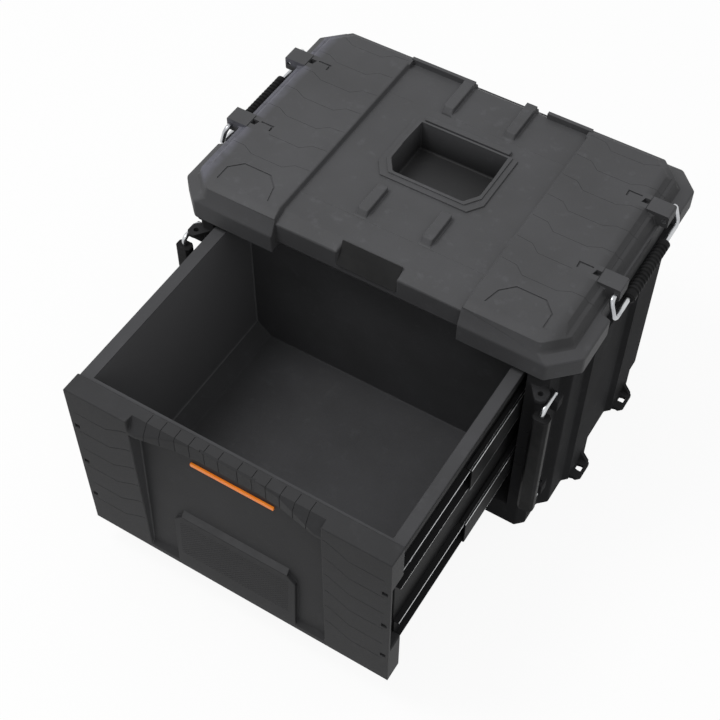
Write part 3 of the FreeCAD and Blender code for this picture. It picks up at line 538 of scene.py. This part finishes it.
def makeRail(name, look):
    # black, but rubbed bright along the edges of the middle and inner channels
    finish = newFinish(name)
    x, _, z = finish.axes()
    away = abs(z - look["upper"]).least(abs(z - look["lower"]))
    rub = finish.noise(**look["rub"])
    outerLine = (abs(x) > look["outerEdge"]) * (away > look["outerRise"])
    innerLine = (abs(x) > look["innerNear"]) * (abs(x) < look["innerFar"]) * (away > look["innerRise"])
    worn = outerLine.most(innerLine) * finish.range(rub, look["wornSpan"], look["worn"])
    return finish.wear(Base_Color=finish.blend(worn, look["coat"], look["bare"]), Metallic=worn,
                       Roughness=finish.range(rub, look["roughSpan"], look["rough"]),
                       Normal=finish.bump(rub, *look["bump"]), Specular_IOR_Level=look["sheen"])


def makeTwoTone(name, look):
    # a cloudy colour between two tones, and a texture that gives gloss and bump; a look with a glow also
    # gives off its colour as painted light
    finish = newFinish(name)
    texture = finish.noise(**look["texture"])
    cloud = finish.noise(**look["cloud"])
    colour = finish.blend(finish.range(cloud, look["cloudSpan"]), look["dark"], look["pale"])
    if "glow" in look:
        finish.wear(Emission_Color=colour, Emission_Strength=look["glow"])
    return finish.wear(Base_Color=colour, Roughness=finish.range(texture, look["roughSpan"], look["rough"]),
                       Normal=finish.bump(texture, *look["bump"]), Specular_IOR_Level=look["sheen"])


rubberLook = {
    "texture": {"scale": 800, "detail": 2}, "roughSpan": (0.3, 0.7), "rough": (0.4, 0.58),
    "cloud": {"scale": 40, "detail": 4}, "cloudSpan": (0.4, 0.75), "dark": grey(0.011), "pale": grey(0.022),
    "bump": (0.3, 0.3 * mm), "sheen": 0.05,
}
accentLook = {
    "texture": {"scale": 900, "detail": 2}, "roughSpan": (0.3, 0.7), "rough": (0.32, 0.45),
    "cloud": {"scale": 30}, "cloudSpan": (0.35, 0.7),
    "dark": (0.92, 0.22, 0.014, 1), "pale": (1.0, 0.28, 0.026, 1),
    # painted light: the orange trim glows faintly, though it is no lamp
    "bump": (0.12, 0.2 * mm), "sheen": 0.5, "glow": 0.22,
}
badgeLook = {
    "texture": {"scale": 300, "rough": 0.6, "stretch": (0.06, 1, 1)},  # brushed across
    "roughSpan": (0.3, 0.7), "rough": (0.35, 0.5),
    "cloud": {"scale": 25}, "cloudSpan": (0.35, 0.7), "dark": grey(0.006), "pale": grey(0.013),
    "bump": (0.12, 0.2 * mm), "sheen": 0.25,
}

coverFinish = makeMoulded("coverMoulding", coverPlastic)
frontFinish = makeMoulded("drawerMoulding", frontPlastic)
caseFinish = makeMoulded("caseMoulding", casePlastic)
binFinish = makeMoulded("binMoulding", binPlastic)
zincFinish = makeZinc("zincWire", zincLook)
railFinish = makeRail("coatedRail", railLook)
rubberFinish = makeTwoTone("gripRubber", rubberLook)
accentFinish = makeTwoTone("orangeTrim", accentLook)
badgeFinish = makeTwoTone("blackPlate", badgeLook)
print("finishes made")


# top cover

coverLook = {
    "round": 3 * mm, "splits": {"x": (0,), "y": (17,)}, "grooveHalf": 0.55 * mm, "grooveDepth": 0.8 * mm,
    "first": -103, "pitch": 40.7, "count": 7, "stopShort": (1,),
    "edgeRun": [(-262, 8, 389.8), (-254, 8, 392.8), (-248.5, 8, 397.73), (-232, 8, 397.73)],
    "wave": [(-216, 0, 397.73), (-170, 0, 397.73), (-157.5, 11, 397.73), (-136, 13, 397.73)],
    "creases": (-119, 95.3), "creaseHalf": 128.3, "creaseTop": 389.2, "creaseDepth": 0.48 * mm,
    "edgeLines": ((255.2, 392.6), (266.2, 377.4)), "edgeSpans": ((-128, -66), (-40, 72), (98, 150)),
    "filler": ((-131, 148, 372), (131, 170.4, 388)), "oldBorder": ((70, 149, 389.05), (130.8, 160.5, 399)),
    "rearWalls": ((-134, -38), (38, 53), (70, 134)), "rearFrom": 160.2, "rearEnd": 165.4,
    "rearLow": 380, "rearTop": 397.4, "rib": (38, 53), "ribFrom": 156, "ribInset": 0.1,
    "slopes": ((-38, 38), (53, 70)), "slopeStart": (162, 389.1), "slopeFall": 42.5, "slopeSize": (30, 16),
}


def wingGrooves(look):
    runs = []
    for number in range(look["count"]):
        line = look["wave"] if number in look["stopShort"] else look["edgeRun"] + look["wave"]
        away = look["first"] + number * look["pitch"]
        moved = [(x, y + away, z) for x, y, z in line]
        runs.append(grooveRun(moved, "X", look["grooveHalf"], look["grooveDepth"]))
    return withMirrors(runs)


def acrossRun(end, across, down):
    x, y, z = end
    return grooveRun([(-x, y, z), (x, y, z)], "X", across, down)


def laneCreases(look):
    return [acrossRun((look["creaseHalf"], y, look["creaseTop"]), look["grooveHalf"], look["creaseDepth"])
            for y in look["creases"]]


def rearEnds(look):
    # thin walls along the rear edge, and the ends of the ribs
    walls = [block((near, look["rearFrom"], look["rearLow"]), (far, look["rearEnd"], look["rearTop"]))
             for near, far in look["rearWalls"]]
    near, far = look["rib"]
    rearEnd, top = look["rearEnd"] - look["ribInset"], look["rearTop"] - look["ribInset"]
    ribs = withMirrors([block((near, look["ribFrom"], look["rearLow"]), (far, rearEnd, top))])
    return walls, ribs


def rearSlopes(look):
    # the lane falls away to the rear between the walls
    slopes = []
    deep, high = look["slopeSize"]
    for near, far in look["slopes"]:
        slope = block((near, 0, 0), (far, deep, high))
        slope.rotation_euler.x = -math.radians(look["slopeFall"])
        slope.location = Vector((0, *look["slopeStart"])) * mm
        settle(slope)
        slopes.append(slope)
    return slopes


def edgeCreases(look):
    size = look["grooveDepth"]
    return withMirrors([grooveRun([(x, near, z), (x, far, z)], "Y", size, size)
                        for x, z in look["edgeLines"] for near, far in look["edgeSpans"]])


topCover = mergedCopy("top_cover")
splitAt(topCover, **coverLook["splits"])
roundEdges(topCover, coverLook["round"])
addTo(topCover, [block(*coverLook["filler"])])
cutWith(topCover, withMirrors([block(*coverLook["oldBorder"])]))
cutWith(topCover, rearSlopes(coverLook))
for blocks in rearEnds(coverLook):
    addTo(topCover, blocks)
cutWith(topCover, wingGrooves(coverLook))
cutWith(topCover, laneCreases(coverLook))
cutWith(topCover, edgeCreases(coverLook))
smooth(topCover)
finishPiece(topCover, "top_cover", coverFinish)
print("cover done", len(topCover.data.polygons))


# case

caseLook = {
    "round": 2.2 * mm, "splits": {"x": (-277, 277), "y": (-57, 81)},
    "lineHalf": 0.8 * mm, "lineDepth": 1.2 * mm, "first": 143, "pitch": 38, "count": 4,
    "line": [(227.7, -182.2), (241.6, -182.2), (249.1, -174.7)],
}


def columnLines(look):
    line = [(x, y, look["first"]) for x, y in look["line"]]
    return stacked(grooveRun(line, "X", look["lineDepth"], look["lineHalf"]), look)


caseShell = mergedCopy("case_shell")
splitAt(caseShell, **caseLook["splits"])
roundEdges(caseShell, caseLook["round"])
cutWith(caseShell, columnLines(caseLook))
smooth(caseShell)
finishPiece(caseShell, "case_shell", caseFinish)
print("case done", len(caseShell.data.polygons))


# drawer

drawerLook = {
    "near": 0.3 * mm, "round": 2.2 * mm, "face": -488.5, "proud": 0.23,
    "grooveHalf": 0.65 * mm, "grooveDepth": 1.1 * mm, "first": 105, "pitch": 38, "count": 6,
    "wave": [(-214, 0), (-168, 0), (-141, 16), (-134.5, 17.5)],
    "lipFirst": 13, "lipPitch": 19.6, "lipCount": 6, "lipTop": 336, "lipLow": 309.5, "lipBack": -463,
    "lipFront": -476, "lipRise": 20 / 12.5, "lipPast": 1, "lipOver": 0.5,
    "spare": ((-41, -477, 335), (41, -475, 337)), "lipEdge": (38, -476.1, 336), "lipRound": 2.4 * mm,
    "ramp": (77, -476.6, 167), "rampAcross": 6.3 * mm, "rampDown": 8.5 * mm,
    "rampBack": ((-78, -473.1, 157), (78, -469.5, 177)),
    "scoop": [(0, 12.4), (40, 12.4), (73, 9.6), (110, 2.5), (122, 0), (140, 0)],
}


def scoopAt(look, x):
    # how deep the lip's face lies behind the front, so far from the middle
    for (x0, d0), (x1, d1) in zip(look["scoop"], look["scoop"][1:]):
        if x0 <= x <= x1:
            return d0 + (d1 - d0) * (x - x0) / (x1 - x0)
    return 0


def pillarGrooves(look):
    line = [(x, look["face"] - look["proud"], look["first"] + z) for x, z in look["wave"]]
    return stacked(grooveRun(line, "X", look["grooveDepth"], look["grooveHalf"]), look)


def lipGrooves(look):
    # over the top of the lip, and down its slope and face
    topRuns = []
    faceRuns = []
    top = look["lipTop"] + look["proud"]
    for number in range(look["lipCount"]):
        x = look["lipFirst"] + number * look["lipPitch"]
        y = look["face"] + scoopAt(look, x) - look["proud"]
        slopeFoot = top + (y - look["lipFront"]) * look["lipRise"]
        topLine = [(x, look["lipBack"], top), (x, look["lipFront"] - look["lipPast"], top)]
        faceLine = [(x, look["lipFront"], top + look["lipOver"]), (x, y, slopeFoot), (x, y, look["lipLow"])]
        topRuns.append(grooveRun(topLine, "Y", look["grooveHalf"], look["grooveDepth"]))
        faceRuns.append(grooveRun(faceLine, "Z", look["grooveHalf"], look["grooveDepth"]))
    return withMirrors(topRuns), withMirrors(faceRuns)


drawerFront = mergedCopy("drawer_front", drawerLook["near"])
roundEdges(drawerFront, drawerLook["round"], spare=drawerLook["spare"])
cutWith(drawerFront, [acrossRun(drawerLook["lipEdge"], drawerLook["lipRound"], drawerLook["lipRound"])])
addTo(drawerFront, [acrossRun(drawerLook["ramp"], drawerLook["rampAcross"], drawerLook["rampDown"])])
cutWith(drawerFront, [block(*drawerLook["rampBack"])])
cutWith(drawerFront, pillarGrooves(drawerLook))
for runs in lipGrooves(drawerLook):
    cutWith(drawerFront, runs)
smooth(drawerFront)
finishPiece(drawerFront, "drawer_front", frontFinish)

studLook = {
    "half": 80, "low": 86, "high": 158, "step": 5, "foot": 1.7 * mm, "tip": 0.6 * mm, "height": 0.7 * mm,
    "faceLow": (-488.5, 68), "faceHigh": (-483, 167),
}


def kickStuds(look):
    # low pyramids in staggered rows on the raised pad of the drawer front
    (y0, z0), (y1, z1) = look["faceLow"], look["faceHigh"]
    lean = (y1 - y0) / (z1 - z0)
    clearSelection()
    bpy.ops.mesh.primitive_cone_add(vertices=4, radius1=look["foot"], radius2=look["tip"],
                                    depth=look["height"], rotation=(math.pi / 2, 0, 0))
    studs = bpy.context.object
    studs.name = "kickStuds"
    studs.location = Vector((-look["half"], y0 + (look["low"] - z0) * lean, look["low"])) * mm
    settle(studs)
    step = look["step"] * mm
    across = int(2 * look["half"] / look["step"])
    rows = int((look["high"] - look["low"]) / look["step"])
    for count, move in ((across, (step, 0, 0)), (2, (step / 2, step / 2 * lean, step / 2)),
                        (rows, (0, step * lean, step))):
        applyModifier(studs, "ARRAY", count=count, use_relative_offset=False, use_constant_offset=True,
                      constant_offset_displace=move)
    return studs


studs = kickStuds(studLook)
studs.data.materials.append(frontFinish)
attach(studs, "drawer")

roundedLook = {
    "drawer_bin": {"width": 2 * mm},
    "accent_strip": {"width": 1.2 * mm, "shortest": 2 * mm},
    "badge_plate": {"width": 0.6 * mm, "shortest": 1 * mm},
}
roundedFinish = {"drawer_bin": binFinish, "accent_strip": accentFinish, "badge_plate": badgeFinish}

for node, look in roundedLook.items():
    piece = mergedCopy(node)
    roundEdges(piece, **look)
    smooth(piece)
    finishPiece(piece, node, roundedFinish[node])
print("drawer done")


# handle grips

gripLook = {
    "radius": 8, "groove": 6.2, "end": 5.8, "bore": 3.35, "length": 107, "plain": 8.2, "ribs": 14,
    "slope": 1.1, "flat": 1.6, "cap": 1.9, "sides": 40, "boreSides": 32, "boreOver": 1.2, "smooth": 40,
}


def ribSteps(look):
    # how far each ring lies from the one before, and its radius
    radius, groove, slope = look["radius"], look["groove"], look["slope"]
    ribbed = look["length"] - 2 * (look["plain"] + look["cap"])
    crest = (ribbed - look["ribs"] * (look["flat"] + 2 * slope)) / (look["ribs"] - 1)
    steps = [(look["cap"], radius), (look["plain"], radius)]
    for number in range(look["ribs"]):
        level = crest if number < look["ribs"] - 1 else look["plain"]
        steps += [(slope, groove), (look["flat"], groove), (slope, radius), (level, radius)]
    return steps + [(look["cap"], look["end"])]


def ribbedGrip(look):
    # turned along Y from the front end to the rear one, then bored for the wire
    clearSelection()
    bpy.ops.mesh.primitive_circle_add(vertices=look["sides"], radius=look["end"] * mm, fill_type="NGON",
                                      rotation=(math.pi / 2, 0, 0))
    grip = bpy.context.object
    y = -look["length"] / 2
    grip.location = (0, y * mm, 0)
    settle(grip)
    editAll(grip)
    radius = look["end"]
    for along, nextRadius in ribSteps(look):
        y += along
        bpy.ops.mesh.extrude_region_move(TRANSFORM_OT_translate={"value": (0, along * mm, 0)})
        ratio = nextRadius / radius
        if ratio != 1:
            bpy.ops.transform.resize(value=(ratio, 1, ratio), center_override=(0, y * mm, 0))
        radius = nextRadius
    leaveEdit()
    faceOutwards(grip)
    clearSelection()
    bpy.ops.mesh.primitive_cylinder_add(vertices=look["boreSides"], radius=look["bore"] * mm,
                                        depth=look["length"] * look["boreOver"] * mm,
                                        rotation=(math.pi / 2, 0, 0))
    bore = bpy.context.object
    settle(bore)
    cutWith(grip, [bore])
    return grip


plainGrip = ribbedGrip(gripLook)
for side in ("left", "right"):
    node = f"{side}_handle_grip"
    low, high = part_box(node)
    grip = copyMoved(plainGrip, (Vector(low) + Vector(high)) / 2)
    grip.name = f"{side}ribbedGrip"
    smooth(grip, gripLook["smooth"])
    finishPiece(grip, node, rubberFinish)
bpy.data.objects.remove(plainGrip)
print("grips done")


# wires, corner grips, rails and screws

fittingLook = {
    "wireSmooth": 50, "cornerSmooth": 40,
    "corner": {"width": 3.4 * mm, "shortest": 3 * mm, "segments": 4},
    "rail": {"width": 0.4 * mm, "shortest": 20 * mm},
}

for side in ("left", "right"):
    for node in (f"{side}_handle_bail", f"{side}_corner_bail"):
        wire = mergedCopy(node)
        smooth(wire, fittingLook["wireSmooth"])
        finishPiece(wire, node, zincFinish)
    cornerGrip = mergedCopy(f"{side}_corner_grip")
    roundEdges(cornerGrip, **fittingLook["corner"])
    smooth(cornerGrip, fittingLook["cornerSmooth"])
    finishPiece(cornerGrip, f"{side}_corner_grip", rubberFinish)
    for level in ("upper", "lower"):
        for kind in ("case", "mid", "drawer"):
            rail = mergedCopy(f"{side}_{level}_{kind}_rail")
            roundEdges(rail, **fittingLook["rail"])
            smooth(rail)
            finishPiece(rail, f"{side}_{level}_{kind}_rail", railFinish)
for node in ("case_rail_screws", "drawer_rail_screws", "cover_screws"):
    screws = mergedCopy(node)
    smooth(screws)
    finishPiece(screws, node, zincFinish)
print("fittings done")


# floor, light and camera, in metres

stageLook = {
    "floor": 6.0, "whiteShare": 0.92, "floorGrey": 0.85, "bounce": 0.25, "skyHigh": 1.0, "skyLow": 0.12,
    "keyPower": 24, "keyPlace": (-0.9, -0.7, 2.4), "keySize": 1.0,
    "fillPower": 2.5, "fillPlace": (1.7, -1.3, 1.1), "fillSize": 1.6, "aim": (0, -0.1, 0.2),
}
fullWhite = {"Color": (1, 1, 1, 1), "Strength": 1.0}


def makeFloor(look):
    # white to the lens, with the object's shadow, and dimmer as a reflector of light
    clearSelection()
    bpy.ops.mesh.primitive_plane_add(size=look["floor"])
    floor = bpy.context.object
    floor.name = "paleFloor"
    finish = newFinish("paleFloor")
    pale = finish.add("ShaderNodeBsdfDiffuse", inputs={"Color": grey(look["floorGrey"], 1)})
    dim = finish.add("ShaderNodeBsdfDiffuse", inputs={"Color": grey(look["bounce"], 1)})
    glow = finish.add("ShaderNodeEmission", inputs=fullWhite)
    shown = finish.add("ShaderNodeMixShader", inputs={0: look["whiteShare"], 1: pale, 2: glow})
    mixed = finish.add("ShaderNodeMixShader", inputs={0: finish.seen(), 1: dim, 2: shown})
    finish.feed(finish.nodes["Material Output"].inputs["Surface"], mixed)
    floor.data.materials.append(finish.holder)


def makeWorld(look):
    sky = Finish(bpy.data.worlds.new("softRoom"))
    bpy.context.scene.world = sky.holder
    _, _, z = sky.axes("Generated")
    strength = sky.range(z, (0, 1), (look["skyLow"], look["skyHigh"]))
    room = sky.add("ShaderNodeBackground", inputs={**fullWhite, "Strength": strength})
    white = sky.add("ShaderNodeBackground", inputs=fullWhite)
    mixed = sky.add("ShaderNodeMixShader", inputs={0: sky.seen(), 1: room, 2: white})
    sky.feed(sky.nodes["World Output"].inputs["Surface"], mixed)


def addLamp(look, name):
    lamp = bpy.data.lights.new(f"{name}Lamp", "AREA")
    lamp.shape = "DISK"
    lamp.size = look[f"{name}Size"]
    lamp.energy = look[f"{name}Power"]
    holder = bpy.data.objects.new(f"{name}Lamp", lamp)
    bpy.context.scene.collection.objects.link(holder)
    holder.location = look[f"{name}Place"]
    facing = Vector(look["aim"]) - Vector(look[f"{name}Place"])
    holder.rotation_euler = facing.to_track_quat("-Z", "Y").to_euler()


cameraLook = {"place": (0.5752, -1.1357, 1.6637), "turn": 31.32, "rise": 52.68, "roll": -0.30,
              "lens": 70.66, "sensor": 36, "farthest": 30}


def makeCamera(look):
    turn, rise, roll = (math.radians(look[name]) for name in ("turn", "rise", "roll"))
    right = Vector((math.cos(turn), math.sin(turn), 0))
    back = Vector((math.sin(turn) * math.cos(rise), -math.cos(turn) * math.cos(rise), math.sin(rise)))
    up = back.cross(right)
    camera = bpy.data.cameras.new("photoView")
    camera.lens = look["lens"]
    camera.sensor_width = look["sensor"]
    camera.clip_end = look["farthest"]
    holder = bpy.data.objects.new("photoView", camera)
    bpy.context.scene.collection.objects.link(holder)
    across = right * math.cos(roll) - up * math.sin(roll)
    upright = right * math.sin(roll) + up * math.cos(roll)
    pose = Matrix((across, upright, back)).transposed().to_4x4()
    pose.translation = look["place"]
    holder.matrix_world = pose
    bpy.context.scene.camera = holder


makeFloor(stageLook)
makeWorld(stageLook)
addLamp(stageLook, "key")
addLamp(stageLook, "fill")
makeCamera(cameraLook)
bpy.context.scene.view_settings.view_transform = "Standard"
print("stage done")
